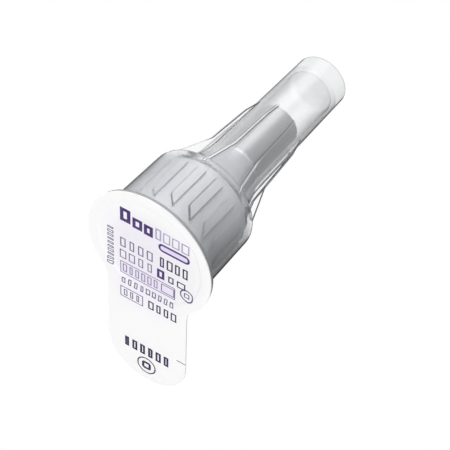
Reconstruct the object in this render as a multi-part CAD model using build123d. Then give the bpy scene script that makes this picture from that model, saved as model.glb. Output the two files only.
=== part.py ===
from build123d import *
from math import sqrt
import os

# Sealed pen needle, in millimetres. The origin is the centre of the peel seal's underside,
# +Z runs along the needle to the closed tip, and the seal's tongue points along -Y.

# Peel seal: a paper laminate disc with a tongue to pull it off by
seal_thickness = 0.12
seal_overhang = 0.1             # how far the disc stands out past the cap's flange
seal_dish_depth = 0.12          # how far the disc is pressed in inside its bonded ring
seal_dish_slope = 0.35          # width of the sloping step between ring and centre
tongue_width = 10.3
tongue_offset = 0.25            # the tongue is cut a little to one side of the axis
tongue_reach = 20.4             # from the axis to the tongue's end
tongue_corner_radius = 5.0
tongue_blend_radius = 2.8       # between the disc and each side of the tongue

# Outer cap: one clear moulding
flange_radius = 7.75
flange_thickness = 0.5
flange_edge_radius = 0.12
land_inner_radius = 6.7         # the ring under the flange that the seal is bonded to
land_relief = 0.25
skirt_foot_radius = 6.72
skirt_top_radius = 6.47
skirt_wall = 0.4
skirt_blend_radius = 0.25
cap_shoulder_height = 10.25
cap_shoulder_radius = 0.9
shoulder_wall = 0.65
flare_foot_radius = 5.45
tube_foot_height = 16.2
tube_foot_radius = 3.48
tube_tip_radius = 3.2
tube_wall = 0.55
cap_length = 33.6
tip_edge_radius = 0.5
end_wall = 2.4
bore_end_fillet = 0.5

# Thin gusset fins between the cap's shoulder and its tube
fin_count = 8
fin_phase = 3.0                 # degrees
fin_thickness = 0.35
fin_sink = 0.2                  # how far the fins' inner edge lies inside the tube's wall
fin_foot_height = 8.9
fin_knee_height = 15.4
fin_knee_rise = 0.78            # how far the knee stands out of the tube
fin_shelf_height = 21.5
fin_shelf_rise = 0.46
fin_top_height = 24.0

# Needle hub: the grey moulding that screws on to the pen
hub_rim_height = 1.3
hub_body_radius = 5.75
hub_top_edge = 0.3              # chamfer round the body's top
hub_cup_radius = 4.75
hub_cup_depth = 7.3
hub_floor_fillet = 0.4
hub_core_radius = 1.7           # cored hollow above the cup's floor
hub_core_top_radius = 0.9
hub_core_depth = 4.0
hub_flare_foot_radius = 5.15
hub_collar_radius = 2.65
hub_collar_height = 15.8        # the step that the shield's rim seats on
hub_seat_clearance = 0.04       # between the hub's top face and the cap's inner shoulder
tower_radius = 2.0
tower_top_height = 18.4
tower_edge = 0.3
tower_bore_clearance = 0.03
grip_rib_count = 16
grip_rib_phase = 6.0            # degrees
grip_rib_width = 1.05
grip_rib_sink = 0.3             # how far the ribs reach into the body
grip_rib_clearance = 0.08       # to the inside of the cap's skirt
grip_rib_foot_height = 2.6
grip_rib_foot_slant = 1.2       # the foot is cut at a slant across the rib
grip_rib_top_gap = 0.95

# Thread inside the hub's cup: one helical ridge
thread_pitch = 1.5
thread_depth = 0.35
thread_sink = 0.12              # how far the ridge's root reaches into the cup's wall
thread_start = 1.1              # from the hub's rim to the first turn's middle
thread_turns = 3
thread_crest = 0.24
thread_root = 0.84

# Inner needle shield: a grey tube with a closed, rounded end
shield_foot_radius = 2.6
shield_tip_radius = 2.54
shield_top_height = 24.45
shield_edge_radius = 0.3
shield_inner_edge_radius = 0.2
shield_wall = 0.45
shield_end_wall = 0.7

# Cannula: 32 gauge steel tube, 0.23 mm across, 4 mm of it beyond the tower
cannula_radius = 0.115
cannula_bore_radius = 0.065
cannula_exposed_length = 4.0
cannula_rear_height = 2.9
cannula_bevel_length = 0.55

# Adhesive bead in the funnel at the tower's top
funnel_radius = 0.62
funnel_depth = 0.8
bead_rise = 0.18

# Worked out from the sizes above
seal_radius = flange_radius + seal_overhang
cap_base = seal_thickness
flange_top = cap_base + flange_thickness
skirt_drop = (skirt_foot_radius - skirt_top_radius) / (cap_shoulder_height - flange_top)
tube_drop = (tube_foot_radius - tube_tip_radius) / (cap_length - tube_foot_height)
bore_foot_radius = tube_foot_radius - tube_wall
bore_end_height = cap_length - end_wall
bore_end_radius = bore_foot_radius - tube_drop * (bore_end_height - tube_foot_height)
cap_inner_shoulder_height = cap_shoulder_height - shoulder_wall
skirt_bore_foot_radius = skirt_foot_radius - skirt_wall
skirt_bore_top_radius = skirt_bore_foot_radius - skirt_drop * (cap_inner_shoulder_height - flange_top)
hub_top_height = cap_inner_shoulder_height - hub_seat_clearance
hub_floor_height = hub_rim_height + hub_cup_depth
hub_core_top_height = hub_floor_height + hub_core_depth
grip_rib_radius = skirt_bore_top_radius - grip_rib_clearance
grip_rib_top_height = hub_top_height - grip_rib_top_gap
tower_bore_radius = cannula_radius + tower_bore_clearance
cannula_tip_height = tower_top_height + cannula_exposed_length
far = 4 * cap_length


def tube_radius(height):
    return tube_foot_radius - tube_drop * (height - tube_foot_height)


def flare_arc(foot_radius, foot_height, top_radius, top_height):
    """Concave outline from a wide foot up to a slim top, tangent to the axis at the top."""
    across = foot_radius - top_radius
    along = top_height - foot_height
    radius = (across ** 2 + along ** 2) / (2 * across)
    middle_radius = top_radius + radius - sqrt(radius ** 2 - (along / 2) ** 2)
    return ThreePointArc((foot_radius, foot_height), (middle_radius, foot_height + along / 2), (top_radius, top_height))


def crown_arc(radius, base, rise):
    """Low round crown from the axis out to the given radius."""
    sphere = (radius ** 2 + rise ** 2) / (2 * rise)
    middle = base + rise - sphere + sqrt(sphere ** 2 - (radius / 2) ** 2)
    return ThreePointArc((0, base + rise), (radius / 2, middle), (radius, base))


def outline_face(lines):
    """Face in the XZ plane inside lines drawn as (radius, height)."""
    return make_face([edge for line in lines for edge in (Plane.XZ * line).edges()])


def rounded(face, corners):
    """Rounds the face's corners, given as (radius, height, fillet)."""
    for radius, height, size in corners:
        corner = face.vertices().sort_by_distance(Vector(radius, 0, height))[0]
        face = fillet(corner, size)
    return face


def turned(face):
    return revolve(face, Axis.Z)


def turned_copies(piece, count, phase):
    return [Rot(0, 0, phase + turn * 360 / count) * piece for turn in range(count)]


def make_peel_seal():
    top = seal_thickness
    inner = land_inner_radius - seal_dish_slope
    disc = turned(outline_face([Polyline(
        (0, seal_dish_depth), (inner, seal_dish_depth), (land_inner_radius, 0), (seal_radius, 0), (seal_radius, top),
        (land_inner_radius, top), (inner, seal_dish_depth + top), (0, seal_dish_depth + top), close=True)]))
    plate = Circle(seal_radius) + Pos(tongue_offset, -tongue_reach / 2) * Rectangle(tongue_width, tongue_reach)
    plate = fillet(plate.vertices().group_by(Axis.Y)[0], tongue_corner_radius)
    for side in (tongue_offset - tongue_width / 2, tongue_offset + tongue_width / 2):
        joint = Vector(side, -sqrt(seal_radius ** 2 - side ** 2), 0)
        plate = fillet(plate.vertices().sort_by_distance(joint)[0], tongue_blend_radius)
    ring = (land_inner_radius + seal_radius) / 2
    tongue = extrude(plate, top) - Cylinder(ring, far)
    return disc + tongue


def make_cap_body():
    face = outline_face([
        Polyline((tube_foot_radius, tube_foot_height), (tube_tip_radius, cap_length), (0, cap_length), (0, cap_base),
                 (flange_radius, cap_base), (flange_radius, flange_top), (skirt_foot_radius, flange_top),
                 (skirt_top_radius, cap_shoulder_height), (flare_foot_radius, cap_shoulder_height)),
        flare_arc(flare_foot_radius, cap_shoulder_height, tube_foot_radius, tube_foot_height)])
    return turned(rounded(face, [
        (tube_tip_radius, cap_length, tip_edge_radius),
        (skirt_top_radius, cap_shoulder_height, cap_shoulder_radius),
        (skirt_foot_radius, flange_top, skirt_blend_radius),
        (flange_radius, flange_top, flange_edge_radius),
        (flange_radius, cap_base, flange_edge_radius)]))


def make_cap_hollow():
    relief_top = cap_base + land_relief
    face = outline_face([
        Polyline((bore_foot_radius, tube_foot_height), (bore_end_radius, bore_end_height), (0, bore_end_height),
                 (0, -far), (land_inner_radius, -far), (land_inner_radius, relief_top),
                 (skirt_bore_foot_radius, relief_top), (skirt_bore_top_radius, cap_inner_shoulder_height),
                 (flare_foot_radius, cap_inner_shoulder_height)),
        flare_arc(flare_foot_radius, cap_inner_shoulder_height, bore_foot_radius, tube_foot_height)])
    return turned(rounded(face, [(bore_end_radius, bore_end_height, bore_end_fillet)]))


def make_fins():
    knee = tube_radius(fin_knee_height) + fin_knee_rise
    shelf = tube_radius(fin_shelf_height) + fin_shelf_rise
    top = tube_radius(fin_top_height)
    sunk = top - fin_sink
    plate = outline_face([Polyline(
        (sunk, fin_foot_height), (skirt_top_radius, fin_foot_height), (knee, fin_knee_height),
        (shelf, fin_shelf_height), (top, fin_top_height), (sunk, fin_top_height), close=True)])
    return turned_copies(extrude(plate, fin_thickness / 2, both=True), fin_count, fin_phase)


def make_outer_cap():
    return make_cap_body() + make_fins() - make_cap_hollow()


def make_grip_ribs():
    """Bars along the hub's skirt, with slanted feet."""
    ring = Cylinder(grip_rib_radius, far) - Cylinder(hub_body_radius - grip_rib_sink, far)
    half = grip_rib_width / 2
    front = make_face((Plane.YZ * Polyline(
        (-half, grip_rib_foot_height + grip_rib_foot_slant), (half, grip_rib_foot_height),
        (half, grip_rib_top_height), (-half, grip_rib_top_height), close=True)).edges())
    bar = extrude(front, skirt_foot_radius)
    return [piece & ring for piece in turned_copies(bar, grip_rib_count, grip_rib_phase)]


def make_thread():
    """Helical ridge that stands in from the cup's wall."""
    root_radius = hub_cup_radius + thread_sink
    crest_radius = hub_cup_radius - thread_depth
    section = outline_face([Polyline(
        (root_radius, -thread_root / 2), (crest_radius, -thread_crest / 2), (crest_radius, thread_crest / 2),
        (root_radius, thread_root / 2), close=True)])
    path = Helix(thread_pitch, thread_pitch * thread_turns, root_radius)
    return Pos(0, 0, hub_rim_height + thread_start) * sweep(section, path, is_frenet=True)


def make_funnel():
    return turned(outline_face([Polyline(
        (0, tower_top_height - funnel_depth), (tower_bore_radius, tower_top_height - funnel_depth),
        (funnel_radius, tower_top_height), (0, tower_top_height), close=True)]))


def make_needle_hub():
    body = turned(outline_face([
        Polyline((hub_collar_radius, hub_collar_height), (tower_radius, hub_collar_height),
                 (tower_radius, tower_top_height - tower_edge), (tower_radius - tower_edge, tower_top_height),
                 (0, tower_top_height), (0, hub_rim_height), (hub_body_radius, hub_rim_height),
                 (hub_body_radius, hub_top_height - hub_top_edge), (hub_body_radius - hub_top_edge, hub_top_height),
                 (hub_flare_foot_radius, hub_top_height)),
        flare_arc(hub_flare_foot_radius, hub_top_height, hub_collar_radius, hub_collar_height)]))
    cup = turned(rounded(outline_face([Polyline(
        (0, -far), (hub_cup_radius, -far), (hub_cup_radius, hub_floor_height), (hub_core_radius, hub_floor_height),
        (hub_core_top_radius, hub_core_top_height), (0, hub_core_top_height), close=True)]),
        [(hub_cup_radius, hub_floor_height, hub_floor_fillet)]))
    bore = Cylinder(tower_bore_radius, far)
    return body + make_grip_ribs() - cup - bore - make_funnel() + make_thread()


def make_needle_shield():
    inner_foot = shield_foot_radius - shield_wall
    inner_tip = shield_tip_radius - shield_wall
    inner_top = shield_top_height - shield_end_wall
    return turned(rounded(outline_face([Polyline(
        (inner_foot, hub_collar_height), (shield_foot_radius, hub_collar_height), (shield_tip_radius, shield_top_height),
        (0, shield_top_height), (0, inner_top), (inner_tip, inner_top), close=True)]),
        [(shield_tip_radius, shield_top_height, shield_edge_radius),
         (inner_tip, inner_top, shield_inner_edge_radius)]))


def make_cannula():
    length = cannula_tip_height - cannula_rear_height
    tube = Cylinder(cannula_radius, length, align=(Align.CENTER, Align.CENTER, Align.MIN))
    tube -= Cylinder(cannula_bore_radius, far)
    across = 2 * cannula_radius
    wedge = outline_face([Polyline(
        (-cannula_radius, length - cannula_bevel_length), (across, length + cannula_bevel_length / 2),
        (-cannula_radius, length + cannula_bevel_length), close=True)])
    bevel = extrude(wedge, across, both=True)
    rear_bevel = Pos(0, 0, length) * Rot(180, 0, 0) * bevel
    return Pos(0, 0, cannula_rear_height) * (tube - bevel - rear_bevel)


def make_adhesive_bead():
    bead = turned(outline_face([
        crown_arc(funnel_radius, tower_top_height, bead_rise),
        Polyline((funnel_radius, tower_top_height), (tower_bore_radius, tower_top_height - funnel_depth),
                 (0, tower_top_height - funnel_depth), (0, tower_top_height + bead_rise))]))
    return bead - Cylinder(cannula_radius, far)


pieces = {
    "peel_seal": make_peel_seal(),
    "outer_cap": make_outer_cap(),
    "needle_hub": make_needle_hub(),
    "needle_shield": make_needle_shield(),
    "cannula": make_cannula(),
    "adhesive_bead": make_adhesive_bead(),
}

os.makedirs("parts", exist_ok=True)
for name, piece in pieces.items():
    export_step(piece, f"parts/{name}.step")
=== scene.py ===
from math import radians

import bpy
from mathutils import Euler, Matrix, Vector

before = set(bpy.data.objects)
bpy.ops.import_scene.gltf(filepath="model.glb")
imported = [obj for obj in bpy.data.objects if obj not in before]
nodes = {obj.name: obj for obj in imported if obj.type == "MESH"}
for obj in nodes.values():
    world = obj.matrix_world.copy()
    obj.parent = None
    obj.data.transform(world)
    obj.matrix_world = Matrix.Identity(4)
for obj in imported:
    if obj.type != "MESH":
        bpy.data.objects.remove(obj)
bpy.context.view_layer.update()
mm = 0.001
print("frame loaded with", len(nodes), "pieces")


class Wire:                                   # a socket that can stand in a sum
    def __init__(self, finish, socket):
        self.finish, self.socket = finish, socket

    def maths(self, operation, *values):
        return self.finish.node("ShaderNodeMath", {"operation": operation}, dict(enumerate(values)))

    def __add__(self, other):
        return self.maths("ADD", self, other)

    def __sub__(self, other):
        return self.maths("SUBTRACT", self, other)

    def __rsub__(self, other):
        return self.maths("SUBTRACT", other, self)

    def __mul__(self, other):
        return self.maths("MULTIPLY", self, other)

    def __truediv__(self, other):
        return self.maths("DIVIDE", self, other)

    def __pow__(self, other):
        return self.maths("POWER", self, other)

    def __lt__(self, other):
        return self.maths("LESS_THAN", self, other)

    def __gt__(self, other):
        return self.maths("GREATER_THAN", self, other)

    def __abs__(self):
        return self.maths("ABSOLUTE", self)

    __radd__, __rmul__ = __add__, __mul__

    def most(self, other):
        return self.maths("MAXIMUM", self, other)

    def least(self, other):
        return self.maths("MINIMUM", self, other)

    def ramp(self, low, high):                # 0 at low, 1 at high, straight between
        return ((self - low) / (high - low)).most(0).least(1)

    def plateau(self, low, high, top, end):   # 1 from high to top, 0 below low and above end
        return self.ramp(low, high) * (1 - self.ramp(top, end))

    def to(self, value):                      # 1 where the socket is 0, and value where it is 1
        return 1 - self * (1 - value)


class Finish:                                 # one material, or the world, and its nodes
    def __init__(self, name, holder=None):
        self.holder = holder or bpy.data.materials.new(name)
        self.holder.use_nodes = True
        self.tree = self.holder.node_tree
        self.tree.nodes.clear()

    def node(self, kind, settings=None, sockets=None, out=0):
        made = self.tree.nodes.new(kind)
        for key, value in (settings or {}).items():
            setattr(made, key, value)
        for key, value in (sockets or {}).items():
            if isinstance(value, Wire):
                self.tree.links.new(value.socket, made.inputs[key])
            else:
                made.inputs[key].default_value = value
        return Wire(self, made.outputs[out]) if made.outputs else made

    def split(self, wire):
        return [self.node("ShaderNodeSeparateXYZ", sockets={0: wire}, out=axis) for axis in "XYZ"]

    def place(self):                          # x, y and z on the piece, in millimetres
        point = self.node("ShaderNodeTexCoord", out="Object")
        self.point = self.node("ShaderNodeVectorMath", {"operation": "SCALE"}, {0: point, "Scale": 1 / mm})
        return self.split(self.point)

    def noise(self, scale, detail=2.0):
        return self.node("ShaderNodeTexNoise",
                         sockets={"Vector": self.point, "Scale": scale, "Detail": detail})

    def blend(self, factor, first, second):   # first colour where factor is 0
        first, second = [colour if isinstance(colour, Wire) else (*colour, 1) for colour in (first, second)]
        return self.node("ShaderNodeMix", {"data_type": "RGBA"}, {0: factor, 6: first, 7: second}, out=2)

    def facing(self):                         # 0 where seen square on, 1 at the edge
        return self.node("ShaderNodeLayerWeight", sockets={"Blend": 0.5}, out="Facing")

    def bump(self, height, distance, strength=1.0):
        return self.node("ShaderNodeBump",
                         sockets={"Height": height, "Distance": distance, "Strength": strength})

    def plastic(self, **sockets):
        names = {"colour": "Base Color", "roughness": "Roughness", "metallic": "Metallic", "ior": "IOR",
                 "clear": "Transmission Weight", "normal": "Normal", "coat": "Coat Weight",
                 "coatRoughness": "Coat Roughness", "gloss": "Specular IOR Level"}
        filled = {names[key]: (*value, 1) if isinstance(value, tuple) else value
                  for key, value in sockets.items()}
        return self.node("ShaderNodeBsdfPrincipled", sockets=filled)

    def seeThrough(self, colour=(1, 1, 1)):
        return self.node("ShaderNodeBsdfTransparent", sockets={"Color": (*colour, 1)})

    def mixed(self, factor, first, second):
        return self.node("ShaderNodeMixShader", sockets={0: factor, 1: first, 2: second})

    def done(self, shader, kind="ShaderNodeOutputMaterial"):
        self.node(kind, sockets={"Surface": shader})
        return self.holder


def dress(name, material):
    for slot in nodes[name].material_slots:
        slot.material = material


def distance(x, y):
    return (x * x + y * y) ** 0.5


def repeats(x, y, radius, count, phase):      # each repeat's number, and the way off its middle
    step = 360 / count
    turns = x.maths("ARCTAN2", y, x) * (1 / radians(step)) + (count + 0.5 - phase / step)
    offset = (turns.maths("FRACT", turns) - 0.5) * radius * radians(step)
    return turns.maths("FLOOR", turns), offset


# In the pieces' values, lengths are in millimetres and heights are from the seal's face. The cap is clear
# plastic with a share of milk, an opaque finish that grows towards the edges, is darkened there as painted
# shade, and carries the painted shade lines and a painted highlight.
cap = {
    "cloud": 0.6, "tint": (0.97, 0.975, 0.98), "edgeShadeTint": (0.3, 0.305, 0.315), "tintPower": 3,
    "ior": 1.03, "roughness": 0.28, "uneven": 0.04, "gloss": 0.1,
    "coat": (0.16, 0.5), "coatFrom": (10.0, 14.0), "coatRoughness": 0.26, "innerCoat": 0.2, "tipCoat": 0.5,
    "milk": 0.075, "milkPower": 1.9, "milkCloud": (0.8, 0.4), "milkRoughness": 0.4, "mostMilk": 0.96,
    "innerMilk": 0.1, "finMilk": 0.1, "tipMilk": 0.55, "shoulderMilk": 0.3,
    "milkColour": (0.68, 0.69, 0.71), "milkEdgeShade": (0.22, 0.22, 0.23), "edgePower": 1.6, "finnedEdge": 0.6,
    "shoulder": (8.4, 9.4, 11.5, 13.0), "finned": (12.0, 13.5, 23.5, 24.5), "boreEnd": (28.8, 30.6),
    "tipFrom": (31.0, 31.4), "flatFace": 0.15, "outward": 0.1, "sideways": 0.4,
    "outline": (0.7, 0.84), "outlineShade": (0.17, 0.17, 0.18), "finnedOutline": 0.05, "innerOutline": 0.15,
    "tipShift": 0.35, "rimRadius": 7.55, "rimHeight": 0.5, "rimShade": (0.42, 0.42, 0.43), "rimShare": 0.8,
    "pane": (0.97, 0.97, 0.975), "paneShare": 0.9, "shadow": (0.93, 0.935, 0.94),
    "fins": {                                 # plain, faint and pale are fins by number, with less painted shade on their lines
        "count": 8, "phase": 3.0, "halfWidth": 0.175, "ends": (9.2, 23.7),
        "edge": [(6.47, 8.9, -0.3385), (4.27, 15.4, -0.068), (3.855, 21.5, -0.2)],    # radius, height, slope
        # ink is the colour of the painted shade lines along the fins' edges
        "ink": (0.12, 0.12, 0.13), "line": 0.07, "skin": 0.01, "spare": 0.02, "edgeDepth": 0.03,
        "sideDepth": 0.1, "faceShade": (0.4, 0.8), "shadeFrom": (15.0, 17.0),
        "glint": (0.95, 0.95, 0.95), "glintHalf": 0.09, "glintShare": 0.7,
        "plainFin": 11, "plainShade": 0.2, "faintFin": 8, "faintShade": 0.3, "paleFin": 9, "paleShade": 0.4,
        "paleBelow": (14.2, 15.6),
    },
}


def finLines(x, y, z, radius):                # painted shade lines along the fins' edges, and a painted highlight between
    fins = cap["fins"]
    index, offset = repeats(x, y, radius, fins["count"], fins["phase"])
    plain, faint, pale = [abs(index - fins[name]) < 0.5 for name in ("plainFin", "faintFin", "paleFin")]
    first, second, third = [(z - height) * slope + start for start, height, slope in fins["edge"]]
    edge = first.most(second).least(third)
    across, half = abs(offset), fins["halfWidth"]
    onSide = across > half - fins["skin"]
    onFace = (across > half - fins["line"]) * (across < half - fins["skin"])
    onEdge = radius > edge - fins["edgeDepth"]
    upper = z.ramp(*fins["shadeFrom"])
    lowShade, highShade = fins["faceShade"]
    face = onEdge * onFace * (upper * (highShade - lowShade) + lowShade) * plain.to(fins["plainShade"])
    side = (radius > edge - fins["sideDepth"]) * onSide
    lines = (face + side) * faint.to(fins["faintShade"])
    lines = lines * (pale * (1 - z.ramp(*fins["paleBelow"]))).to(fins["paleShade"])
    glint = onEdge * (across < fins["glintHalf"]) * (1 - upper)
    low, high = fins["ends"]
    within = (across < half + fins["spare"]) * (z > low) * (z < high)
    return lines * within, glint * within


def clearPlastic():
    finish = Finish("clearPlastic")
    x, y, z = finish.place()
    radius = distance(x, y)
    normal = finish.split(finish.node("ShaderNodeTexCoord", out="Normal"))
    radial = (x * normal[0] + y * normal[1]) / radius
    behind = finish.node("ShaderNodeNewGeometry", out="Backfacing")
    turned = abs(radial) > cap["flatFace"]    # not the flat end faces
    inner = abs((radial < 0) - behind) * turned    # the inner wall, from either side
    finSide = (abs(radial) < cap["sideways"]) * (abs(normal[2]) < cap["sideways"])
    cloudy = finish.noise(cap["cloud"])
    facing = finish.facing()
    finned, tip = z.plateau(*cap["finned"]), z.ramp(*cap["tipFrom"])
    soft = z.plateau(*cap["shoulder"]).to(cap["shoulderMilk"])
    line, glint = finLines(x, y, z, radius)
    # painted shade: a grey band round the flange's outer edge
    rim = (radius > cap["rimRadius"]) * (z < cap["rimHeight"])

    # painted shade: a dark line where the cap's walls are seen side on, wider on the sides of the tip
    shift = (1 - abs(radial)) * (radial > cap["outward"]) * tip * cap["tipShift"]
    outline = ((facing + shift).ramp(*cap["outline"]) * turned * finned.to(cap["finnedOutline"])
               * (1 - finSide))
    outline = outline * (inner * (1 - z.ramp(*cap["boreEnd"]))).to(cap["innerOutline"])

    dull, bright = cap["coat"]
    coat = z.ramp(*cap["coatFrom"]) * (bright - dull) + dull
    coat = coat * inner.to(cap["innerCoat"]) * tip.to(cap["tipCoat"])
    # painted shade: the glass darkens towards its edges, partly the longer way through the plastic there
    edgeShade = facing ** cap["tintPower"] * soft * (1 - tip) * (1 - finSide)
    glass = finish.plastic(colour=finish.blend(edgeShade, cap["tint"], cap["edgeShadeTint"]), clear=1.0, ior=cap["ior"],
                           roughness=cloudy * cap["uneven"] + cap["roughness"], gloss=cap["gloss"], coat=coat,
                           coatRoughness=cap["coatRoughness"])

    # painted shade: the milk darkens towards the edges, less over the fins
    edge = facing ** cap["edgePower"] * finned.to(cap["finnedEdge"])
    colour = finish.blend(edge, cap["milkColour"], cap["milkEdgeShade"])
    colour = finish.blend(outline, colour, cap["outlineShade"])
    colour = finish.blend(rim, colour, cap["rimShade"])
    colour = finish.blend(line, colour, cap["fins"]["ink"])
    # painted highlight along the fins' narrow faces
    colour = finish.blend(glint, colour, cap["fins"]["glint"])
    milk = finish.plastic(colour=colour, roughness=cap["milkRoughness"], gloss=0.0)

    least, swing = cap["milkCloud"]
    share = facing ** cap["milkPower"] * (1 - cap["milk"]) + (cloudy * swing + least) * cap["milk"]
    share = share * inner.to(cap["innerMilk"]) * finSide.to(cap["finMilk"]) * tip.to(cap["tipMilk"]) * soft
    share = share.most(outline).most(line).most(glint * cap["fins"]["glintShare"]).most(rim * cap["rimShare"])
    plastic = finish.mixed(share.least(cap["mostMilk"]), glass, milk)
    plain = finSide * (1 - line.most(glint)) * cap["paneShare"]
    plastic = finish.mixed(plain, plastic, finish.seeThrough(cap["pane"]))
    shadow = finish.node("ShaderNodeLightPath", out="Is Shadow Ray")
    return finish.done(finish.mixed(shadow, plastic, finish.seeThrough(cap["shadow"])))


hub = {
    "cloud": 0.5, "pale": (0.75, 0.765, 0.785), "deep": (0.69, 0.7, 0.72), "roughness": 0.55, "gloss": 0.25,
    "collarShade": (0.6, 0.61, 0.63), "collarShadeFrom": (8.6, 9.6),
    "ribCount": 16, "ribPhase": 6.0, "ribHalf": 0.525, "ribTop": 8.6, "ribRadius": 5.6,
    "footHeight": 3.2, "footSlope": 1.143,
    # line is the colour of the painted shade along the ribs' edges and feet
    "line": (0.33, 0.33, 0.35), "stroke": 0.07, "footStroke": 0.105,
    "shadedRibs": (19.5, 21.5), "faintShade": 0.4,   # full painted shade lines between these rib numbers, faint elsewhere
}


def hubPlastic():                             # with a painted shade line along one edge and the foot of each rib
    finish = Finish("hubPlastic")
    x, y, z = finish.place()
    radius = distance(x, y)
    colour = finish.blend(finish.noise(hub["cloud"]), hub["deep"], hub["pale"])
    # painted shade: darker from the collar up, partly the thicker plastic there
    colour = finish.blend(z.ramp(*hub["collarShadeFrom"]), colour, hub["collarShade"])
    index, offset = repeats(x, y, radius, hub["ribCount"], hub["ribPhase"])
    half, stroke = hub["ribHalf"], hub["stroke"]
    foot = offset * -hub["footSlope"] + hub["footHeight"]
    side = (abs(offset + half) < stroke) * (z > foot) * (z < hub["ribTop"])
    end = (abs(z - foot) < hub["footStroke"]) * (abs(offset) < half + stroke)
    first, last = hub["shadedRibs"]
    ink = (index > first) * (index < last) * (1 - hub["faintShade"]) + hub["faintShade"]
    colour = finish.blend(side.most(end) * (radius > hub["ribRadius"]) * ink, colour, hub["line"])
    return finish.done(finish.plastic(colour=colour, roughness=hub["roughness"], gloss=hub["gloss"]))


shield = {"cloud": 0.5, "pale": (0.37, 0.37, 0.375), "deep": (0.32, 0.32, 0.325), "rim": (0.62, 0.62, 0.63),
          "rimTop": 16.15, "roughness": 0.44, "gloss": 1.0, "coat": 1.0, "coatRoughness": 0.37}


def shieldPlastic():
    finish = Finish("shieldPlastic")
    height = finish.place()[2]
    colour = finish.blend(finish.noise(shield["cloud"]), shield["deep"], shield["pale"])
    colour = finish.blend(height < shield["rimTop"], colour, shield["rim"])
    return finish.done(finish.plastic(colour=colour, roughness=shield["roughness"], gloss=shield["gloss"],
                                      coat=shield["coat"], coatRoughness=shield["coatRoughness"]))


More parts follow.
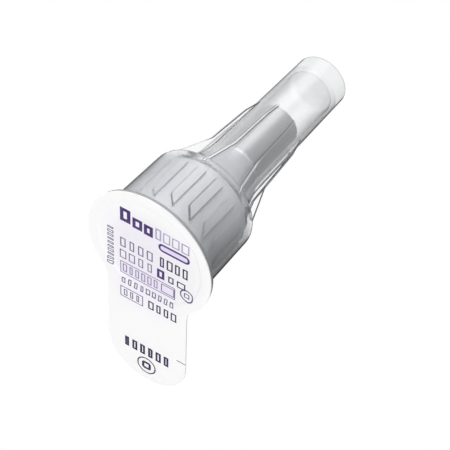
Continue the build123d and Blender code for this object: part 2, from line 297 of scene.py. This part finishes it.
# Places in the print are as seen from below, tongue down: first to the right of the axis, then up from it
seal = {
    "paper": ((0.945, 0.945, 0.95), (0.975, 0.975, 0.98)), "fibre": (4.0, 5.0), "roughness": 0.45,
    "bump": 0.004, "bumpStrength": 0.5, "underside": -0.5,
    "shade": {"colour": (0.87, 0.865, 0.885), "centre": (0.9, -0.6), "reach": (20, 42), "share": 0.6},
    "inks": {"haze": (0.8, 0.72, 0.94), "pale": (0.42, 0.37, 0.56), "line": (0.13, 0.1, 0.22),
             "bold": (0.055, 0.02, 0.15), "navy": (0.015, 0.01, 0.06)},
    "narrowest": 0.6, "seedStep": 37.7,
    "rows": [
        {"ink": "line", "left": -4.0, "middle": -0.5, "pitch": 1.15, "count": 4, "width": 0.9,
         "height": 1.35, "stroke": 0.15, "seed": 3},
        {"ink": "navy", "left": 1.1, "middle": -0.45, "pitch": 0.98, "count": 4, "width": 0.78,
         "height": 1.45, "stroke": 0.19, "seed": 4},
        {"ink": "line", "left": -4.0, "middle": -2.3, "pitch": 1.15, "count": 4, "width": 0.85,
         "height": 1.25, "stroke": 0.13, "seed": 5},
        {"ink": "navy", "left": 2.1, "middle": -2.5, "pitch": 1.3, "count": 2, "width": 1.1,
         "height": 0.95, "stroke": 0.17, "seed": 7},
        {"ink": "line", "left": -3.6, "middle": -4.3, "pitch": 0.8, "count": 6, "width": 0.6,
         "height": 1.15, "stroke": 0.11, "seed": 8},
        {"ink": "line", "left": -3.7, "middle": -6.15, "pitch": 0.78, "count": 9, "width": 0.58,
         "height": 0.8, "stroke": 0.13, "seed": 9},
        {"ink": "line", "left": -3.45, "middle": -7.95, "pitch": 0.8, "count": 3, "width": 0.58,
         "height": 0.95, "stroke": 0.13, "seed": 10},
        {"ink": "navy", "left": -0.2, "middle": -7.9, "pitch": 0.98, "count": 4, "width": 0.75,
         "height": 1.25, "stroke": 0.18, "seed": 11},
        {"ink": "navy", "left": -3.45, "middle": -15.75, "pitch": 1.05, "count": 6, "width": 0.85,
         "height": 1.5, "stroke": 0.27, "seed": 12},
    ],
    "boxes": [
        {"ink": "bold", "centre": (-3.1, 3.7), "size": (1.35, 1.95), "corner": 0.05, "stroke": 0.46},
        {"ink": "bold", "centre": (-1.55, 3.3), "size": (1.25, 1.5), "corner": 0.05, "stroke": 0.4},
        {"ink": "bold", "centre": (-0.15, 3.2), "size": (1.15, 1.5), "corner": 0.05, "stroke": 0.42},
        {"ink": "pale", "centre": (1.1, 3.4), "size": (0.75, 1.6), "corner": 0.05, "stroke": 0.2},
        {"ink": "pale", "centre": (2.15, 3.35), "size": (0.9, 1.45), "corner": 0.05, "stroke": 0.16},
        {"ink": "pale", "centre": (3.3, 3.3), "size": (0.95, 1.4), "corner": 0.05, "stroke": 0.16},
        {"ink": "pale", "centre": (4.5, 3.25), "size": (1.0, 1.4), "corner": 0.05, "stroke": 0.18},
        {"ink": "bold", "centre": (3.1, 1.72), "size": (3.95, 1.15), "corner": 0.55, "stroke": 0.27},
        {"ink": "bold", "centre": (1.44, -2.35), "size": (0.95, 1.35), "corner": 0.05, "stroke": 0.32},
        {"ink": "line", "centre": (-0.25, -4.3), "size": (7.1, 1.8), "corner": 0.1, "stroke": 0.1},
        {"ink": "line", "centre": (2.35, -4.3), "size": (1.7, 1.25), "corner": 0.1, "stroke": 0.12},
        {"ink": "line", "centre": (-2.25, -7.95), "size": (3.0, 1.6), "corner": 0.1, "stroke": 0.12},
        {"ink": "line", "centre": (4.78, -3.6), "size": (1.75, 1.75), "corner": 0.87, "stroke": 0.18},
        {"ink": "line", "centre": (4.78, -3.6), "size": (0.7, 0.7), "corner": 0.1, "stroke": 0.14},
        {"ink": "navy", "centre": (-0.3, -18.15), "size": (2.5, 2.5), "corner": 1.24, "stroke": 0.17},
        {"ink": "navy", "centre": (-0.3, -18.15), "size": (1.2, 1.2), "corner": 0.35, "stroke": 0.32},
        {"ink": "line", "centre": (4.3, -14.5), "size": (1.2, 0.13), "corner": 0.06, "stroke": 0.13},
    ],
    "hazes": [
        {"centre": (-0.25, -4.3), "size": (7.1, 1.8), "corner": 0.4, "soft": 0.2, "strength": 0.6},
        {"centre": (-0.9, -2.6), "size": (7.6, 12.5), "corner": 2.5, "soft": 1.8, "strength": 0.25},
        {"centre": (3.1, 1.72), "size": (3.8, 1.0), "corner": 0.5, "soft": 0.2, "strength": 1.0},
    ],
    "sideRow": {"ink": "line", "left": -4.7, "middle": -5.05, "pitch": 0.58, "count": 10, "width": 0.464,
                "height": 0.8, "stroke": 0.12, "seed": 20},    # this row runs up, and left is its lower end
}


def blockEdge(u, v, centre, size, corner):    # distance outside a rounded block's edge
    du = abs(u - centre[0]) - (size[0] / 2 - corner)
    dv = abs(v - centre[1]) - (size[1] / 2 - corner)
    outside = (du.most(0) ** 2 + dv.most(0) ** 2) ** 0.5
    return outside + du.most(dv).least(0) - corner


def markRow(finish, u, v, row):               # a row of hollow blocks of uneven width
    steps = (u - row["left"]) / row["pitch"]
    index = steps.maths("FLOOR", steps)
    place = index + row["seed"] * seal["seedStep"]
    chance = finish.node("ShaderNodeTexWhiteNoise", {"noise_dimensions": "1D"}, {"W": place})
    local = abs(steps - index - 0.5) * row["pitch"]
    half = (chance * (1 - seal["narrowest"]) + seal["narrowest"]) * (row["width"] / 2)
    edge = (local - half).most(abs(v - row["middle"]) - row["height"] / 2)
    stroke = (edge < 0) * (edge > -row["stroke"])
    return stroke * (steps > 0) * (steps < row["count"])


def printMasks(finish, u, v):                 # where each ink goes
    masks = {}

    def add(ink, mask):
        masks[ink] = masks[ink].most(mask) if ink in masks else mask

    for row in seal["rows"]:
        add(row["ink"], markRow(finish, u, v, row))
    for box in seal["boxes"]:
        edge = blockEdge(u, v, box["centre"], box["size"], box["corner"])
        add(box["ink"], abs(edge + box["stroke"] / 2) < box["stroke"] / 2)
    for haze in seal["hazes"]:
        edge = blockEdge(u, v, haze["centre"], haze["size"], haze["corner"])
        add("haze", (1 - edge.ramp(-haze["soft"], haze["soft"])) * haze["strength"])
    add(seal["sideRow"]["ink"], markRow(finish, v, u, seal["sideRow"]))
    return masks


def sealPaper():
    finish = Finish("sealPaper")
    x, y, z = finish.place()
    u, v = x * -1, y
    masks = printMasks(finish, u, v)
    fibre = finish.noise(*seal["fibre"])
    colour = finish.blend(fibre, *seal["paper"])
    shade = seal["shade"]
    right, up = shade["centre"]
    middle = 1 - ((u - right) ** 2 + (v - up) ** 2).ramp(*shade["reach"])
    colour = finish.blend(middle * shade["share"], colour, shade["colour"])
    normal = finish.split(finish.node("ShaderNodeTexCoord", out="Normal"))
    printed = normal[2] < seal["underside"]
    for name, ink in seal["inks"].items():
        colour = finish.blend(masks[name] * printed, colour, ink)
    bump = finish.bump(fibre, seal["bump"] * mm, seal["bumpStrength"])
    return finish.done(finish.plastic(colour=colour, roughness=seal["roughness"], normal=bump))


cannula = {"colour": (0.72, 0.73, 0.74), "grain": 2.0, "roughness": 0.2, "uneven": 0.1}


def cannulaSteel():
    finish = Finish("cannulaSteel")
    finish.place()
    roughness = finish.noise(cannula["grain"]) * cannula["uneven"] + cannula["roughness"]
    return finish.done(finish.plastic(colour=cannula["colour"], metallic=1.0, roughness=roughness))


bead = {"cloud": 3.0, "deep": (0.82, 0.82, 0.76), "pale": (0.88, 0.88, 0.84), "roughness": 0.15}


def adhesive():
    finish = Finish("adhesive")
    finish.place()
    colour = finish.blend(finish.noise(bead["cloud"]), bead["deep"], bead["pale"])
    return finish.done(finish.plastic(colour=colour, roughness=bead["roughness"]))


dress("outer_cap", clearPlastic())
dress("peel_seal", sealPaper())
dress("needle_hub", hubPlastic())
dress("needle_shield", shieldPlastic())
dress("cannula", cannulaSteel())
dress("adhesive_bead", adhesive())
print("materials made")

# Places are in metres, turns in degrees, lens and sensor in millimetres. reach is the way to the piece
camera = {"place": (-0.0833244, 0.1510042, -0.1150763), "turn": (135.21037, -34.43509, 178.03071),
          "lens": 160.0, "sensor": 36.0, "clip": (0.001, 50.0), "reach": 0.2127}


def makeCamera(turn):
    data = bpy.data.cameras.new("camera")
    data.lens, data.sensor_width = camera["lens"], camera["sensor"]
    data.clip_start, data.clip_end = camera["clip"]
    view = bpy.data.objects.new("camera", data)
    view.location = camera["place"]
    view.rotation_euler = turn.to_euler()
    bpy.context.scene.collection.objects.link(view)
    bpy.context.scene.camera = view


cameraTurn = Euler([radians(angle) for angle in camera["turn"]]).to_matrix()
aim = Vector(camera["place"]) + cameraTurn @ Vector((0, 0, -camera["reach"]))
makeCamera(cameraTurn)

# way is the direction to the lamp in the piece's own frame, distance and size are in metres, power in watts
lamps = {"key": {"way": (0.2, 0.785, 0.585), "distance": 0.45, "size": 0.36, "power": 1.95},
         "front": {"way": (-0.133, 0.015, -0.989), "distance": 0.45, "size": 0.3, "power": 1.5},
         "side": {"way": (0.75, -0.2, 0.63), "distance": 0.5, "size": 0.35, "power": 0.65}}


def makeLamp(name, way, distance, size, power):
    data = bpy.data.lights.new(name, "AREA")
    data.shape, data.size, data.energy = "DISK", size, power
    lamp = bpy.data.objects.new(name, data)
    towards = Vector(way).normalized()
    lamp.location = aim + towards * distance
    lamp.rotation_euler = towards.to_track_quat("Z", "Y").to_euler()
    lamp.visible_camera = lamp.visible_transmission = False
    bpy.context.scene.collection.objects.link(lamp)


for name, lamp in lamps.items():
    makeLamp(name, **lamp)

# floorDrop and floorSize are in metres, floorFade in millimetres from the axis
studio = {"fill": 0.3, "floorDrop": 0.3 * mm, "floorSize": 4.0, "floorColour": (0.93, 0.93, 0.93),
          "floorFade": (40, 200)}


def seenDirectly(finish):                     # 1 for what is seen, mirrored or looked at through plastic
    rays = [finish.node("ShaderNodeLightPath", out=name)
            for name in ("Is Camera Ray", "Is Glossy Ray", "Is Transmission Ray", "Diffuse Depth")]
    return rays[0].most(rays[1]).most(rays[2]) * (rays[3] < 0.5)


def makeWorld():
    world = bpy.data.worlds.new("studio")
    bpy.context.scene.world = world
    finish = Finish("studio", world)
    grey = studio["fill"]
    colour = finish.blend(seenDirectly(finish), (grey, grey, grey), (1, 1, 1))
    finish.done(finish.node("ShaderNodeBackground", sockets={"Color": colour}), "ShaderNodeOutputWorld")


def makeFloor():                              # seen from above only, so that the seal shows from below
    bpy.ops.object.select_all(action="DESELECT")
    bpy.ops.mesh.primitive_plane_add(size=studio["floorSize"], location=(0, 0, -studio["floorDrop"]))
    floor = bpy.context.object
    floor.name = "floor"
    finish = Finish("floorPaint")
    x, y, z = finish.place()
    above = 1 - finish.node("ShaderNodeNewGeometry", out="Backfacing")
    paint = finish.node("ShaderNodeBsdfDiffuse", sockets={"Color": (*studio["floorColour"], 1)})
    white = finish.node("ShaderNodeEmission", sockets={"Color": (1, 1, 1, 1), "Strength": 1.0})
    shown = finish.mixed(distance(x, y).ramp(*studio["floorFade"]), paint, white)
    finish.done(finish.mixed(seenDirectly(finish) * above, finish.seeThrough(), shown))
    floor.data.materials.append(finish.holder)


makeWorld()
makeFloor()
bpy.context.scene.view_settings.view_transform = "Standard"
print("camera, lamps and floor placed")
